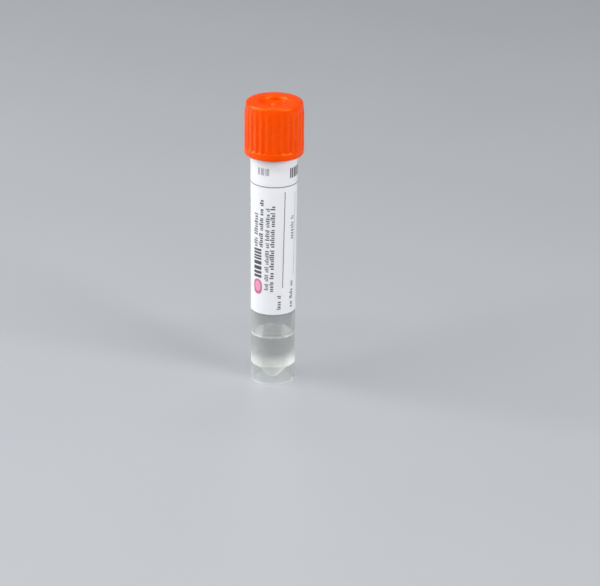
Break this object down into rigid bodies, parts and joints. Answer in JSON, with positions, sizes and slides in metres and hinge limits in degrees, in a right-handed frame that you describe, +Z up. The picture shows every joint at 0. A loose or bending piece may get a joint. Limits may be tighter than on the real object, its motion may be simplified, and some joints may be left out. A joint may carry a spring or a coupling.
{
  "type": "specimen swab tube",
  "caption": "Self-standing screw-cap tube with a conical bottom in a hollow skirt, a ribbed orange cap, a wrap-around label and clear transport liquid.",
  "frame": {"origin": "on the tube's axis, in the plane that the foot stands on", "axes": "+Z up along the tube's axis to the cap, -Y towards the front of the label, the label's lapped seam at +Y"},
  "size_m": [0.016, 0.016, 0.08],
  "materials": {
    "clear_polypropylene": "clear moulded polypropylene with a slight haze",
    "orange_polyethylene": "satin moulded orange polyethylene",
    "label_film": "white printed polypropylene film",
    "transport_liquid": "clear liquid"
  },
  "bodies": {
    "tube": {"tube": "clear_polypropylene", "label": "label_film", "liquid_medium": "transport_liquid"},
    "cap": {"cap": "orange_polyethylene"}
  },
  "joints": [
    {"name": "cap_lift", "type": "slide", "parent": "tube", "child": "cap", "axis": [0, 0, 1], "range_m": [0, 0.03]}
  ]
}
